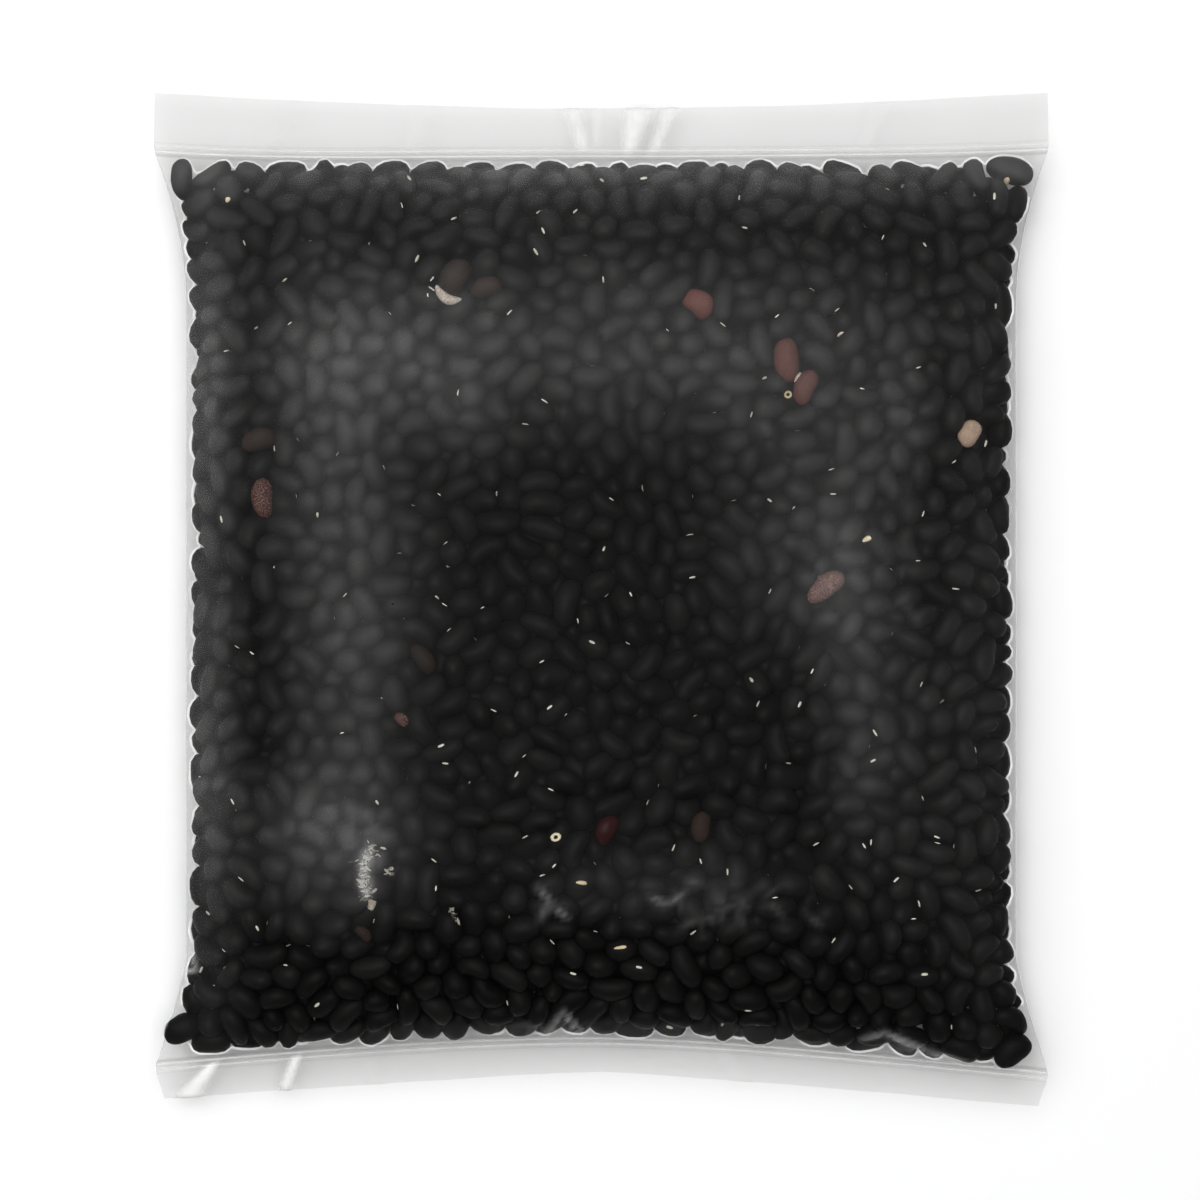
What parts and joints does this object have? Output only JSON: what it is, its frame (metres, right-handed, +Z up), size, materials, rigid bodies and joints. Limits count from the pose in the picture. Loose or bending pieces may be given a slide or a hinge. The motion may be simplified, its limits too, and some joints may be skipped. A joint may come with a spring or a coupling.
{
  "type": "bag of dried beans",
  "caption": "Pillow-shaped clear film bag packed full of dried black beans, with flat sealed strips of film across its head and foot, lying on its back.",
  "frame": {"origin": "middle of the footprint, on the surface that the bag lies on", "axes": "+X across the bag, +Y from the foot seal to the head seal, +Z up out of the shown side"},
  "size_m": [0.23, 0.261, 0.0358],
  "materials": {
    "beans_in_film": "near-black beans seen through thin clear film",
    "clear_film": "thin clear plastic film, soft gloss, faintly hazy",
    "black_bean": "near-black seed coat, matt with a weak sheen",
    "bean_eye": "cream-white scar on the side of a bean, matt",
    "brown_bean": "red-brown seed coat, matt, wrinkled",
    "pale_bean": "pale tan seed coat, matt",
    "broken_bean": "cream inside of split beans and their crumbs, matt",
    "bean_shadow": "dark mass of beans behind the outer ones, matt"
  },
  "bodies": {
    "root": {"filled_bag": "beans_in_film"}
  },
  "joints": []
}
